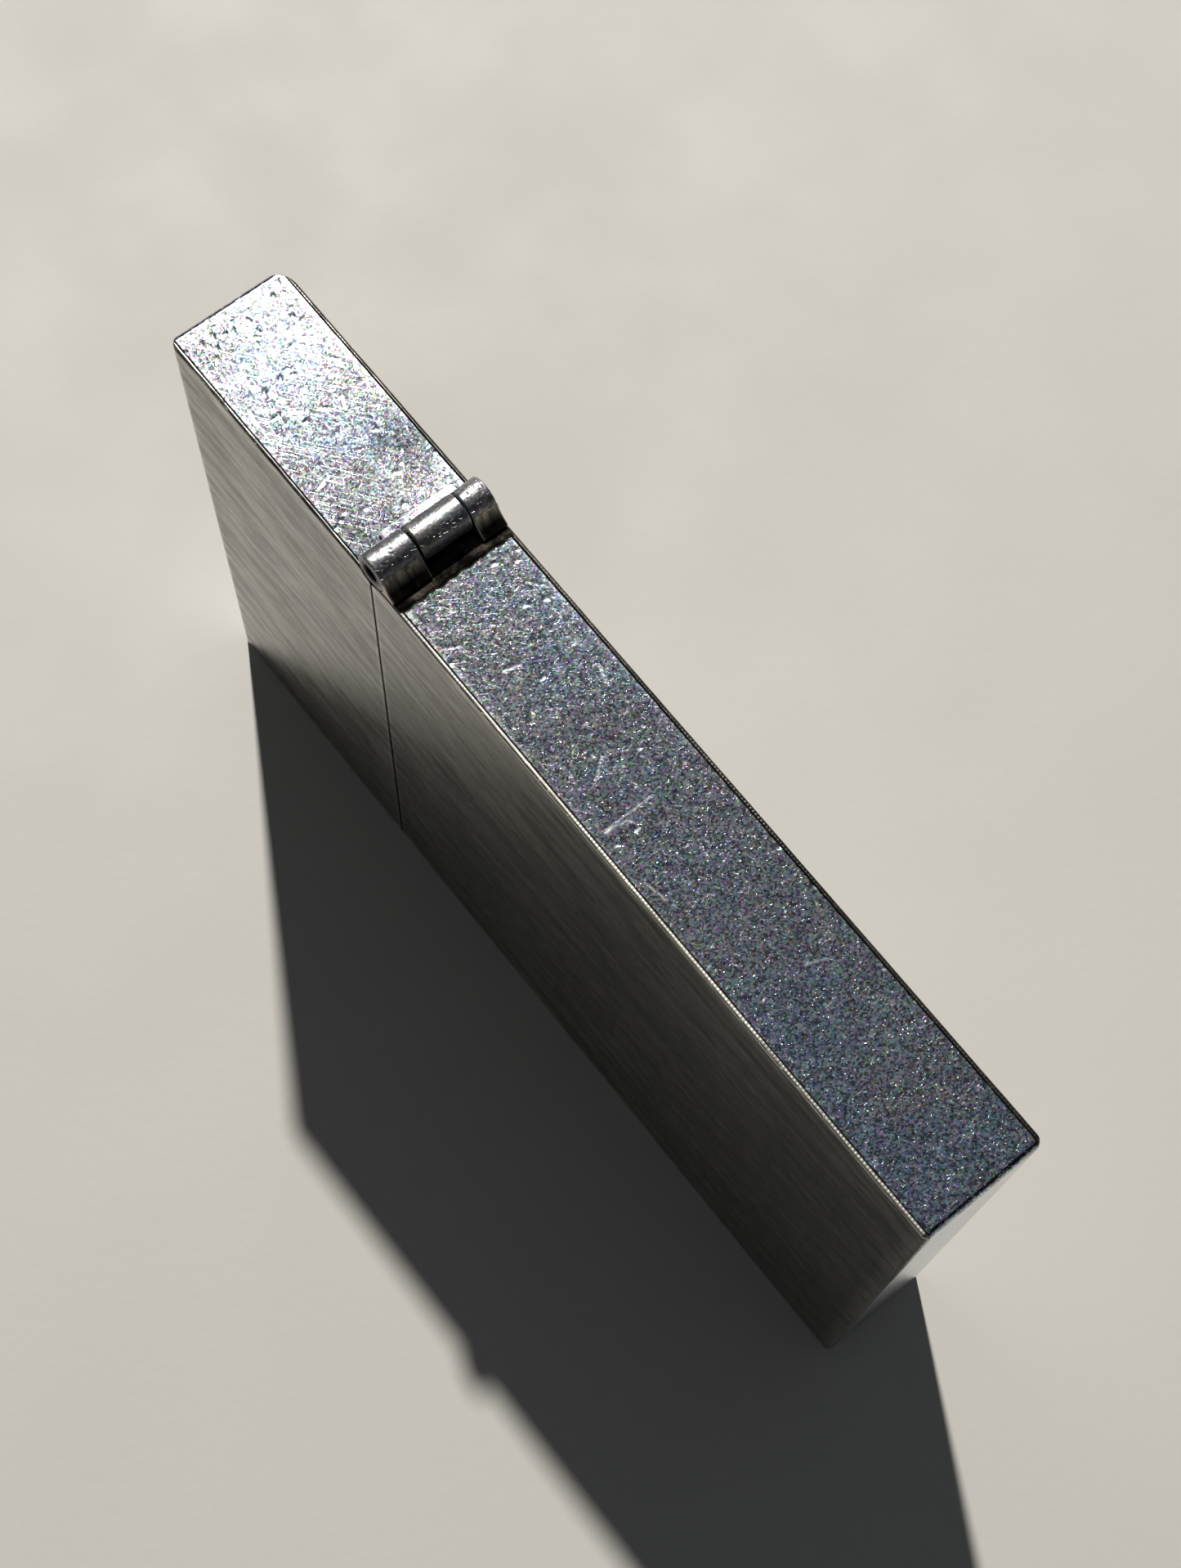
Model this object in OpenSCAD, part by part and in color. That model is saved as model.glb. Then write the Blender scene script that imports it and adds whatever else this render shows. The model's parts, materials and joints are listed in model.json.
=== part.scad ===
// Slim metal business card case with a hinged end lid.
// X runs along the length, with the lid at -X. Y is the thickness, and Z is up.
// The case stands on one long narrow edge, with its origin in the middle of that edge.

/* [Case] */
// Overall length, lid and body together
case_l = 92; // [88:0.5:110]
// Overall height of the broad faces
case_h = 57.6; // [54:0.1:70]
// Overall thickness
case_t = 11.4; // [9:0.1:16]
// Length of the lid
lid_l = 27.1; // [20:0.1:40]
// Outside radius of the corners of the broad faces
corner_r = 1.2; // [0.9:0.1:4]
// Gap left between the lid and the body at the parting line
seam_gap = 0.12; // [0.06:0.01:0.3]

/* [Walls] */
// Thickness of the broad plates
plate_t = 0.4; // [0.3:0.05:0.8]
// Thickness of the strip bent round the narrow edges
band_t = 0.7; // [0.6:0.05:1]
// Thickness of the mouth rim inside the body
rim_t = 0.5; // [0.4:0.05:0.8]
// How far the mouth rim stands out of the body, into the lid
rim_out = 3.5; // [2:0.1:5]
// How far the mouth rim reaches back inside the body
rim_in = 6; // [3:0.5:12]

/* [Hinge] */
// Outside radius of the hinge barrel
barrel_r = 1.65; // [1.4:0.05:2]
// Radius of the hole through the knuckles
bore_r = 0.75; // [0.5:0.05:0.9]
// Height of the hinge axis above the narrow face
axis_rise = 1.2; // [1.1:0.05:1.8]
// Length of the near knuckle, which belongs to the body
near_knuckle_l = 3.85; // [2.5:0.05:4.2]
// Length of the far knuckle, which belongs to the body
far_knuckle_l = 2.35; // [1.5:0.05:3]
// Gap between the near and middle knuckles
near_gap = 0.2; // [0.05:0.05:0.4]
// Gap between the middle and far knuckles
far_gap = 0.1; // [0.05:0.05:0.4]
// Thickness of the two hinge leaves
leaf_t = 0.2; // [0.15:0.05:0.4]
// How far the body leaf reaches along the body from the axis
body_leaf_l = 3.9; // [3.2:0.1:6]
// How far the lid leaf reaches along the lid from the axis
lid_leaf_l = 2.85; // [2.2:0.05:5]
// How far the toe of each bearer reaches from the axis
bearer_l = 2.9; // [2.3:0.05:3.2]

/* [Hidden] */
$fn = 64;

end_x = case_l / 2;
face_y = case_t / 2;
inner_y = face_y - plate_t;
seam_x = lid_l - end_x;
axis_z = case_h + axis_rise;
// Air round anything that turns past another body
turn_gap = 0.08;
// Clearance of the rim inside the lid, across the thickness and across the height.
// The lid swings over the rim in an arc, so the second is the larger.
rim_gap_y = 0.08;
rim_gap_z = 0.14;
// Knuckle ends, from the near end of the barrel to the far one
barrel_end = face_y - 0.1;
near_y0 = -barrel_end;
near_y1 = near_y0 + near_knuckle_l;
far_y1 = barrel_end;
far_y0 = far_y1 - far_knuckle_l;
middle_y0 = near_y1 + near_gap;
middle_y1 = far_y0 - far_gap;
knuckle_chamfer = 0.1;
// The pin is a running fit, and its ends stay inside the outer knuckles
pin_r = bore_r - 0.03;
pin_end = barrel_end - 0.65;
pin_chamfer = 0.15;
// Lid leaf ends: it runs past the middle knuckle on both sides
lid_leaf_past = 1.4;
leaf_corner_r = 0.5;
// Bearer profile, from the hinge axis and the narrow face
bearer_foot_x = 1.2;
bearer_top_x = 1.45;
bearer_top_z = 1.95;
bearer_toe_t = 0.25;
// Longer than anything that it cuts
cut = 2 * case_l;

// Extrudes a flat (x, z) outline between two y planes
module across(y0, y1) {
    translate([0, y1, 0]) rotate([90, 0, 0]) linear_extrude(y1 - y0) children();
}

// Round bar along Y about the hinge axis
module axis_bar(r, y0, y1) {
    translate([seam_x, y0, axis_z]) rotate([-90, 0, 0]) cylinder(r = r, h = y1 - y0);
}

// Rectangle with round corners, held off the case outline by an inset
module outline(inset) {
    r = max(corner_r - inset, 0.3);
    x = end_x - inset;
    z0 = inset;
    z1 = case_h - inset;
    translate([-x + r, z0]) square([2 * (x - r), z1 - z0]);
    translate([-x, z0 + r]) square([2 * x, z1 - z0 - 2 * r]);
    for (cx = [-x + r, x - r], cz = [z0 + r, z1 - r]) {
        translate([cx, cz]) circle(r);
    }
}

// Keeps the part of a flat outline on the body's side of the seam
module body_side() {
    intersection() {
        children();
        translate([seam_x + seam_gap / 2, -cut / 2]) square(cut);
    }
}

// Keeps the part of a flat outline on the lid's side of the seam
module lid_side() {
    intersection() {
        children();
        translate([seam_x - seam_gap / 2 - cut, -cut / 2]) square(cut);
    }
}

// Flat outline of the strip round the narrow edges
module band_outline() {
    difference() {
        outline(0);
        outline(band_t);
    }
}

// What the hinge needs cut away from the body: close round its own knuckles, free round the lid's
module body_seat() {
    axis_bar(barrel_r, -case_t, near_y1);
    axis_bar(barrel_r + turn_gap, near_y1, far_y0);
    axis_bar(barrel_r, far_y0, case_t);
}

// What the hinge needs cut away from the lid: free round the body's knuckles, close round its own
module lid_seat() {
    axis_bar(barrel_r + turn_gap, -case_t, middle_y0);
    axis_bar(barrel_r, middle_y0, middle_y1);
    axis_bar(barrel_r + turn_gap, middle_y1, case_t);
}

module body_plate(y0) {
    color("silver") difference() {
        across(y0, y0 + plate_t) body_side() outline(0);
        body_seat();
    }
}

module lid_plate(y0) {
    color("silver") difference() {
        across(y0, y0 + plate_t) lid_side() outline(0);
        lid_seat();
    }
}

module body_edge_band() {
    color("lightsteelblue") difference() {
        across(-inner_y, inner_y) body_side() band_outline();
        body_seat();
    }
}

module lid_edge_band() {
    color("lightsteelblue") difference() {
        across(-inner_y, inner_y) lid_side() band_outline();
        lid_seat();
    }
}

// Box along X, held in from the case's inside walls by a gap on each side
module sleeve_box(x0, x1, gap_y, gap_z) {
    y = inner_y - gap_y;
    z = band_t + gap_z;
    translate([x0, -y, z]) cube([x1 - x0, 2 * y, case_h - 2 * z]);
}

// Sleeve soldered inside the body's mouth. Its outer part is dressed down to slide in the lid.
module mouth_rim() {
    x_tip = seam_x - rim_out;
    x_mouth = seam_x + seam_gap / 2;
    x_back = seam_x + rim_in;
    color("gainsboro") difference() {
        union() {
            sleeve_box(x_tip, x_mouth, rim_gap_y, rim_gap_z);
            sleeve_box(x_mouth, x_back, 0, 0);
        }
        sleeve_box(x_tip - 1, x_back + 1, rim_t, rim_t);
    }
}

// Length of tube about the hinge axis, with its outer edges broken
module knuckle(y0, y1) {
    l = y1 - y0;
    c = knuckle_chamfer;
    color("darkgray") translate([seam_x, y0, axis_z]) rotate([-90, 0, 0]) rotate_extrude()
        polygon([[bore_r, 0], [barrel_r - c, 0], [barrel_r, c],
                 [barrel_r, l - c], [barrel_r - c, l], [bore_r, l]]);
}

module hinge_pin() {
    l = 2 * pin_end;
    c = pin_chamfer;
    color("dimgray") translate([seam_x, -pin_end, axis_z]) rotate([-90, 0, 0]) rotate_extrude()
        polygon([[0, 0], [pin_r - c, 0], [pin_r, c], [pin_r, l - c], [pin_r - c, l], [0, l]]);
}

// Wedge behind one of the body's knuckles, down to the body leaf
module bearer(y0, y1) {
    color("tan") difference() {
        across(y0, y1) translate([seam_x, case_h])
            polygon([[bearer_foot_x, leaf_t], [bearer_l, leaf_t],
                     [bearer_l, leaf_t + bearer_toe_t], [bearer_top_x, bearer_top_z]]);
        axis_bar(barrel_r, -case_t, case_t);
    }
}

module body_hinge_leaf() {
    leaf_y = face_y - plate_t / 2;
    color("tan") difference() {
        translate([seam_x + 1, -leaf_y, case_h]) cube([body_leaf_l - 1, 2 * leaf_y, leaf_t]);
        axis_bar(barrel_r + turn_gap, -case_t, case_t);
    }
}

module lid_hinge_leaf() {
    y0 = middle_y0 - lid_leaf_past;
    y1 = middle_y1 + lid_leaf_past;
    x0 = seam_x - lid_leaf_l;
    x1 = seam_x - 1;
    r = leaf_corner_r;
    color("silver") difference() {
        translate([0, 0, case_h]) linear_extrude(leaf_t) union() {
            translate([x0 + r, y0]) square([x1 - x0 - r, y1 - y0]);
            translate([x0, y0 + r]) square([r, y1 - y0 - 2 * r]);
            translate([x0 + r, y0 + r]) circle(r);
            translate([x0 + r, y1 - r]) circle(r);
        }
        lid_seat();
    }
}

body_plate(-face_y);  // body_front_plate
body_plate(inner_y);  // body_back_plate
body_edge_band();
mouth_rim();
knuckle(near_y0, near_y1);  // near_knuckle
knuckle(far_y0, far_y1);  // far_knuckle
bearer(near_y0, near_y1);  // near_bearer
bearer(far_y0, far_y1);  // far_bearer
body_hinge_leaf();
hinge_pin();
lid_plate(-face_y);  // lid_front_plate
lid_plate(inner_y);  // lid_back_plate
lid_edge_band();
knuckle(middle_y0, middle_y1);  // middle_knuckle
lid_hinge_leaf();
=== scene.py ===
"""Slim silver business card case: the finish of each piece, the floor, the lights and the camera."""
import json
import math

import bmesh
import bpy
import numpy as np
from bpy.props import FloatProperty, FloatVectorProperty, IntProperty, PointerProperty
from mathutils import Matrix, Vector


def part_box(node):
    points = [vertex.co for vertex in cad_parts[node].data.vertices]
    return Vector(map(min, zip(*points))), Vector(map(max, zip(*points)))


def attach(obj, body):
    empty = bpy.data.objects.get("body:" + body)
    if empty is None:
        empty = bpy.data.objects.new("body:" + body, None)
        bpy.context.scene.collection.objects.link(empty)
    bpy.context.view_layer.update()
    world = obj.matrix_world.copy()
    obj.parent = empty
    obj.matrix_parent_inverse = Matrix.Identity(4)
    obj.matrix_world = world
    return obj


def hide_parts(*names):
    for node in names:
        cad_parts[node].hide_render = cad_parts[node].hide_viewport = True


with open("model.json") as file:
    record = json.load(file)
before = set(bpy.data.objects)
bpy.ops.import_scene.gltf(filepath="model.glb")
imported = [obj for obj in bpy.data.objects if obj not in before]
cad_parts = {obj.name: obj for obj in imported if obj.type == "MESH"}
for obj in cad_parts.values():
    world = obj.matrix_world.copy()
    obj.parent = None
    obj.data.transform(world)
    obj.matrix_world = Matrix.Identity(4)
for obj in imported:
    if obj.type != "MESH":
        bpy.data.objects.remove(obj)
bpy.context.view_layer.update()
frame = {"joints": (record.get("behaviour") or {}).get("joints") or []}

bl_info = {
    "name": "Silver Card Case",
    "version": (1, 0, 0),
    "blender": (4, 5, 0),
    "location": "3D View > Sidebar > Card Case",
    "description": "Makes the plates, bands, rim and barrel hinge of a worn silver card case",
    "category": "Add Mesh",
}

MM = 0.001
BODY, LID = "case_body", "lid"


# ---------------------------------------------------------------- sizes taken from the frame, in millimetres

def box_mm(node):
    """Lowest and highest corner of a CAD node, in millimetres."""
    low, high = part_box(node)
    return np.array(low) / MM, np.array(high) / MM


class Case:
    """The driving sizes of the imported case, in millimetres."""
    plate_low, plate_high = box_mm("body_front_plate")
    lid_low = box_mm("lid_front_plate")[0]
    rim_low, rim_high = box_mm("mouth_rim")
    pin_low, pin_high = box_mm("hinge_pin")
    near_low, near_high = box_mm("near_knuckle")
    middle_low, middle_high = box_mm("middle_knuckle")
    far_low = box_mm("far_knuckle")[0]
    hinge = np.array(frame["joints"][0]["pos_m"]) / MM
    seam_x, axis_z = hinge[0], hinge[2]
    leaf_high = box_mm("body_hinge_leaf")[1]
    height = plate_high[2]
    face_y = -plate_low[1]
    inner_y = -plate_high[1]
    band_t = rim_low[2]
    mouth = plate_low[0] - seam_x
    body_l = plate_high[0] - seam_x
    lid_l = seam_x - lid_low[0]
    barrel_r = (near_high[0] - near_low[0]) / 2
    pin_r = (pin_high[0] - pin_low[0]) / 2
    leaf_t = leaf_high[2] - height


RIM_WALL = 0.5
RIM_GAP = (0.08, 0.14)      # air between rim and lid, across the thickness and across the height
BORE_GAP = 0.03             # air round the pin
PALE_CUT = 0.03             # cuts shallower than this get a light painted highlight along them
SIDE = {BODY: 1.0, LID: -1.0}
LENGTH = {BODY: Case.body_l, LID: Case.lid_l}


# ---------------------------------------------------------------- what a user would change

def color_setting(name, default, description):
    """A colour that the user can change."""
    return FloatVectorProperty(name=name, subtype="COLOR", size=3, min=0, max=1, default=default,
                               description=description)


def length_setting(name, default_mm, description):
    """A length that the user can change, given here in millimetres."""
    return FloatProperty(name=name, default=default_mm * MM, unit="LENGTH", description=description)


class CaseWear(bpy.types.PropertyGroup):
    """How far the edges and faces of the case are worn."""
    corner_r: length_setting("Corner", 0.6, "Outside radius of the corners of the broad faces")
    edge_r: length_setting("Body edge", 0.2, "Radius worn on the long outer edges of the body")
    lid_edge_r: length_setting("Lid edge", 0.3, "Radius worn on the long outer edges of the lid")
    sag: length_setting("Lid sag", 0.12,
                        "Depth of the slow hollow in the lid's narrow face beside the hinge")
    lid_end_r: FloatVectorProperty(name="Lid end", size=2, unit="LENGTH", default=(1.3 * MM, 2.2 * MM),
                                   description="Radius worn on the lid's two end edges, near and far")
    body_end_r: FloatVectorProperty(name="Body end", size=2, unit="LENGTH", default=(0.5 * MM, 0.9 * MM),
                                    description="Radius worn on the body's two end edges, near and far")
    lip_r: length_setting("Mouth lip", 0.06, "Radius worn on the lips either side of the seam")
    joint_r: length_setting("Joint line", 0.09, "Radius either side of the line where plate meets band")
    swell: length_setting("Unevenness", 0.014, "Depth of the slow unevenness of the hand-dressed faces")
    pit_density: FloatProperty(name="Pits", default=2.2e5, min=0.0,
                               description="Small pits on a square metre of the narrow faces")
    pit_size: length_setting("Pit size", 0.24, "Radius of the largest pits")
    pit_depth: length_setting("Pit depth", 0.05, "Depth of the deepest pits")
    dent_density: FloatProperty(name="Dents", default=0.9e4, min=0.0,
                                description="Shallow dents on a square metre")
    dent_size: length_setting("Dent size", 1.5, "Radius of the largest dents")
    dent_depth: length_setting("Dent depth", 0.008, "Depth of the deepest dents")
    seed: IntProperty(name="Seed", default=11, min=0, description="Seed of all the wear")


class CaseFinish(bpy.types.PropertyGroup):
    """Colours of the metals."""
    band_color: color_setting("Narrow faces", (0.50, 0.515, 0.545),
                              "Cool silver of the polished narrow faces")
    plate_color: color_setting("Broad faces", (0.50, 0.48, 0.435),
                               "Warm tarnished silver of the broad faces")
    barrel_color: color_setting("Hinge", (0.34, 0.335, 0.33), "Silver of the hinge barrel")
    rim_color: color_setting("Rim", (0.66, 0.64, 0.58), "Pale silver of the sleeve inside the mouth")
    solder_color: color_setting("Solder", (0.50, 0.46, 0.39), "Dull yellowish silver solder")
    # The tarnish colour is also the colour of the painted shade marks; the solder takes a quarter of it.
    tarnish_color: color_setting("Tarnish", (0.014, 0.012, 0.010), "Dark brown left in pits and corners")
    pin_color: color_setting("Pin", (0.16, 0.15, 0.14), "Dark drawn wire")


class StageSettings(bpy.types.PropertyGroup):
    """Camera, main light, sky and floor."""
    azimuth: FloatProperty(name="Camera azimuth", default=math.radians(46.81), subtype="ANGLE",
                           description="Camera's bearing from the near broad face, towards +X")
    elevation: FloatProperty(name="Camera elevation", default=math.radians(69.19), subtype="ANGLE",
                             description="Camera's height above the horizon")
    roll: FloatProperty(name="Camera roll", default=math.radians(4.764), subtype="ANGLE",
                        description="Turn of the camera about its own axis")
    distance: FloatProperty(name="Camera distance", default=0.21224, unit="LENGTH",
                            description="From the camera to the point that it looks at")
    aim: FloatVectorProperty(name="Camera aim", size=3, subtype="XYZ", unit="LENGTH",
                             default=(-0.00356, 0.00493, 0.028),
                             description="The point in the middle of the view")
    lens: FloatProperty(name="Lens", default=55.34, description="Focal length on a 36 mm sensor")
    key_azimuth: FloatProperty(name="Key azimuth", default=math.radians(150.0), subtype="ANGLE",
                               description="Bearing of the main light, from +X towards +Y")
    key_elevation: FloatProperty(name="Key elevation", default=math.radians(48.0), subtype="ANGLE",
                                 description="Height of the main light above the horizon")
    key_distance: FloatProperty(name="Key distance", default=2.4, unit="LENGTH",
                                description="From the case to the main light")
    key_size: FloatProperty(name="Key size", default=0.085, unit="LENGTH",
                            description="Width of the main light's soft box")
    key_power: FloatProperty(name="Key power", default=56.9, description="Watts of the main light")
    zenith_color: color_setting("Sky above", (0.13, 0.142, 0.16), "Soft light overhead")
    horizon_color: color_setting("Sky at the side", (0.005, 0.005, 0.005), "Soft light low down")
    glow_color: color_setting("Backdrop", (0.15, 0.148, 0.142), "Pale backdrop at floor level")
    floor_color: color_setting("Floor", (0.74, 0.72, 0.67), "Pale floor")


GROUPS = {"case_wear": CaseWear, "case_finish": CaseFinish, "case_stage": StageSettings}


# ---------------------------------------------------------------- mesh helpers

def grid_faces(rows, columns):
    """Corner indices of the faces of a grid of points stored row by row."""
    a = (np.arange(rows - 1)[:, None] * columns + np.arange(columns - 1)[None, :]).ravel()
    return np.stack([a, a + 1, a + columns + 1, a + columns], 1).tolist()


def strip_faces(a, b):
    """Faces between two lines of points with the same count."""
    a, b = np.asarray(a), np.asarray(b)
    return np.stack([a[:-1], a[1:], b[1:], b[:-1]], 1).tolist()


def ring_faces(rings, count, looped):
    """Faces joining closed rings in order, back to the first ring or capped at both ends."""
    faces = []
    for k in range(rings if looped else rings - 1):
        here = k * count + np.arange(count + 1) % count
        there = (k + 1) % rings * count + np.arange(count + 1) % count
        faces += strip_faces(here, there)
    if not looped:
        faces += [list(range(count)), list(range((rings - 1) * count, rings * count))]
    return faces


def mesh_object(name, points, faces, skin, sharp=38.0, **marks):
    """A closed mesh from points in millimetres, facing outwards, with its surface coordinates."""
    mesh = bpy.data.meshes.new(name)
    mesh.from_pydata((np.asarray(points) * MM).tolist(), [], faces)
    flat = mesh.attributes.new("skin", "FLOAT_VECTOR", "POINT")
    flat.data.foreach_set("vector", (np.asarray(skin) * MM).ravel().astype(np.float32))
    # The darkening mark is partly tarnish in pits and joints, partly painted shade: under and behind the
    # hinge barrel, in the bore, in the seam gap and on the far plates' top edges.
    for mark in ("outside", "pit", "glint", "rub"):
        attribute = mesh.attributes.new(mark, "FLOAT", "POINT")
        values = np.broadcast_to(marks.get(mark, 0.0), len(points))
        attribute.data.foreach_set("value", np.ascontiguousarray(values, np.float32))
    shell = bmesh.new()
    shell.from_mesh(mesh)
    bmesh.ops.recalc_face_normals(shell, faces=shell.faces)
    if shell.calc_volume(signed=True) < 0:
        bmesh.ops.reverse_faces(shell, faces=shell.faces)
    shell.to_mesh(mesh)
    shell.free()
    mesh.shade_smooth()
    mesh.set_sharp_from_angle(angle=math.radians(sharp))
    made = bpy.data.objects.new(name, mesh)
    bpy.context.scene.collection.objects.link(made)
    return made


def spaced(start, end, step):
    """Evenly spaced places from start to end, at most a step apart."""
    return np.linspace(start, end, max(2, math.ceil(abs(end - start) / step) + 1))


def rolled(distance, radius):
    """How far a rounded edge falls away at a distance in from the edge."""
    short = np.clip(radius - np.maximum(distance, 0.0), 0.0, radius)
    return radius - np.sqrt(np.maximum(radius**2 - short**2, 0.0))


def lower_of(a, b, blend):
    """The lower of two heights, with the meeting line smoothed over."""
    h = np.clip(0.5 + 0.5 * (b - a) / blend, 0, 1)
    return b * (1 - h) + a * h - blend * h * (1 - h)


def swells(a, b, depth, random, shortest, longest, count=14):
    """Slow random unevenness over two directions, from zero down to the depth."""
    total = np.zeros(np.broadcast(a, b).shape)
    for _ in range(count):
        wave = random.uniform(shortest, longest)
        turn = random.uniform(0, math.tau)
        phase = random.uniform(0, math.tau)
        total += np.sin(math.tau / wave * (a * math.cos(turn) + b * math.sin(turn)) + phase)
    return depth * (0.5 + 0.5 * np.tanh(total / math.sqrt(count)))


def scored(a, b, cuts):
    """Depth of cuts, each (a, b, turn in degrees, length, half width, depth), over a surface."""
    depth = np.zeros(np.broadcast(a, b).shape)
    for ca, cb, turn, length, half, deep in cuts:
        turn = math.radians(turn)
        along = (a - ca) * math.cos(turn) + (b - cb) * math.sin(turn)
        across = -(a - ca) * math.sin(turn) + (b - cb) * math.cos(turn)
        past = np.maximum(np.abs(along) - length / 2, 0)
        fade = np.clip(1 - np.hypot(across, past) / half, 0, 1)
        depth = np.maximum(depth, deep * fade * fade * (3 - 2 * fade))
    return depth


def softened(points, body, settings):
    """Wears the outer edges half round: the case's ends in plan, then its long edges."""
    side, length, r = SIDE[body], LENGTH[body], settings.corner_r / MM
    ends = np.array(settings.body_end_r if body == BODY else settings.lid_end_r) / MM
    long_r = (settings.edge_r if body == BODY else settings.lid_edge_r) / MM
    u, y, z = (points[:, 0] - Case.seam_x) * side, points[:, 1], points[:, 2]
    far = 0.5 + 0.5 * y / Case.face_y
    plan = ends[0] * (1 - far) + ends[1] * far
    a = np.maximum(plan - (length - u), 0)
    b = np.maximum(plan - (Case.face_y - np.abs(y)), 0)
    beyond = np.maximum(np.hypot(a, b), 1e-9)
    turning = (a > 0) & (b > 0)
    pull = np.where(turning & (beyond > plan), plan / beyond, 1.0)
    new_u = u - a * (1 - pull)
    new_y = y - np.sign(y) * b * (1 - pull)
    wall = Case.face_y - np.abs(y)
    wall = np.where(turning, np.maximum(plan - beyond, 0) + 2 * long_r * (1 - b / beyond), wall)
    off_u = u - np.minimum(u, length - r)
    off_z = z - np.clip(z, r, Case.height - r)
    reach = np.hypot(off_u, off_z)
    a = np.maximum(long_r - (r - reach), 0)
    b = np.maximum(long_r - wall, 0)
    beyond = np.maximum(np.hypot(a, b), 1e-9)
    pull = np.where((a > 0) & (b > 0) & (beyond > long_r), long_r / beyond, 1.0)
    back = a * (1 - pull) / np.maximum(reach, 1e-9)
    new_y = new_y - np.sign(y) * b * (1 - pull)
    return np.stack([Case.seam_x + side * (new_u - off_u * back), new_y, z - off_z * back], 1)


def finish_piece(made, metal, body, slot, *nodes):
    """Gives a piece its metal, hides the CAD nodes that it replaces and hangs it on its body's empty."""
    made.data.materials.clear()
    made.data.materials.append(metal)
    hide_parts(*nodes)
    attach(made, body)
    return made


# ---------------------------------------------------------------- shader helpers

class Shader:
    """Short names for building one material's node tree."""

    def __init__(self, name, coords="skin"):
        self.material = bpy.data.materials.new(name)
        self.material.use_nodes = True
        self.tree = self.material.node_tree
        self.tree.nodes.clear()
        output = self.tree.nodes.new("ShaderNodeOutputMaterial")
        self.surface = self.tree.nodes.new("ShaderNodeBsdfPrincipled")
        self.tree.links.new(self.surface.outputs[0], output.inputs["Surface"])
        if coords == "skin":
            self.coords = self.mark("skin", "Vector")
        else:
            self.coords = self.tree.nodes.new("ShaderNodeTexCoord").outputs["Object"]

    def put(self, socket, value):
        """Links a socket's value, or sets a plain one."""
        if isinstance(value, bpy.types.NodeSocket):
            self.tree.links.new(value, socket)
        else:
            socket.default_value = value

    def set(self, **values):
        for name, value in values.items():
            self.put(self.surface.inputs[name.replace("_", " ")], value)

    def math(self, operation, a, b=0.0, clamp=False):
        node = self.tree.nodes.new("ShaderNodeMath")
        node.operation, node.use_clamp = operation, clamp
        self.put(node.inputs[0], a)
        self.put(node.inputs[1], b)
        return node.outputs[0]

    def add(self, *values):
        total = values[0]
        for value in values[1:]:
            total = self.math("ADD", total, value)
        return total

    def most(self, *values):
        total = values[0]
        for value in values[1:]:
            total = self.math("MAXIMUM", total, value)
        return total

    def part(self, a, b):
        return self.math("MULTIPLY", a, b)

    def placed(self, size, turn=0.0, shift=(0, 0, 0), coords=None):
        """Surface coordinates turned about their normal, then counted in units of this size."""
        node = self.tree.nodes.new("ShaderNodeMapping")
        node.vector_type = "TEXTURE"
        self.put(node.inputs["Vector"], coords or self.coords)
        self.put(node.inputs["Scale"], tuple(s * MM for s in size))
        self.put(node.inputs["Rotation"], (0, 0, math.radians(turn)))
        self.put(node.inputs["Location"], tuple(s * MM for s in shift))
        return node.outputs[0]

    def noise(self, size, detail=2.0, rough=0.5, coords=None, color=False, distort=0.0):
        """Soft noise whose lumps are about this many millimetres across."""
        node = self.tree.nodes.new("ShaderNodeTexNoise")
        self.put(node.inputs["Vector"], coords or self.coords)
        self.put(node.inputs["Scale"], 1.0 / size if coords else 1.0 / (size * MM))
        self.put(node.inputs["Detail"], detail)
        self.put(node.inputs["Roughness"], rough)
        self.put(node.inputs["Distortion"], distort)
        return node.outputs[1 if color else 0]

    def cells(self, size, output="Distance", coords=None):
        node = self.tree.nodes.new("ShaderNodeTexVoronoi")
        self.put(node.inputs["Vector"], coords or self.coords)
        self.put(node.inputs["Scale"], 1.0 / size if coords else 1.0 / (size * MM))
        return node.outputs[output]

    def spread(self, value, low, high, out_low=0.0, out_high=1.0):
        """Value from low to high becomes out_low to out_high, held beyond the ends."""
        node = self.tree.nodes.new("ShaderNodeMapRange")
        node.interpolation_type = "SMOOTHSTEP"
        for index, number in enumerate((value, low, high, out_low, out_high)):
            self.put(node.inputs[index], number)
        return node.outputs[0]

    def mix(self, factor, a, b, blend="MIX"):
        node = self.tree.nodes.new("ShaderNodeMix")
        node.data_type, node.blend_type = "RGBA", blend
        self.put(node.inputs[0], factor)
        for index, value in ((6, a), (7, b)):
            self.put(node.inputs[index], value if isinstance(value, bpy.types.NodeSocket) else (*value, 1.0))
        return node.outputs[2]

    def tint(self, color, by):
        return self.mix(1.0, color, by, "MULTIPLY")

    def mark(self, name, output="Fac"):
        node = self.tree.nodes.new("ShaderNodeAttribute")
        node.attribute_name = name
        return node.outputs[output]

    def bump(self, height, depth, onto=None, strength=1.0):
        """Relief of this many millimetres."""
        node = self.tree.nodes.new("ShaderNodeBump")
        self.put(node.inputs["Height"], height)
        self.put(node.inputs["Distance"], depth * MM)
        self.put(node.inputs["Strength"], strength)
        if onto is not None:
            self.put(node.inputs["Normal"], onto)
        return node.outputs["Normal"]

    def scratches(self, turn, length, width, share, shift):
        """Straight fine scratches that run one way, as 1 in the scratch and 0 beside it."""
        long_way = self.placed((length, width, width * 4), turn, shift)
        return self.spread(self.noise(1.0, 0.0, coords=long_way), 0.62 - share, 0.66 - share)


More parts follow.
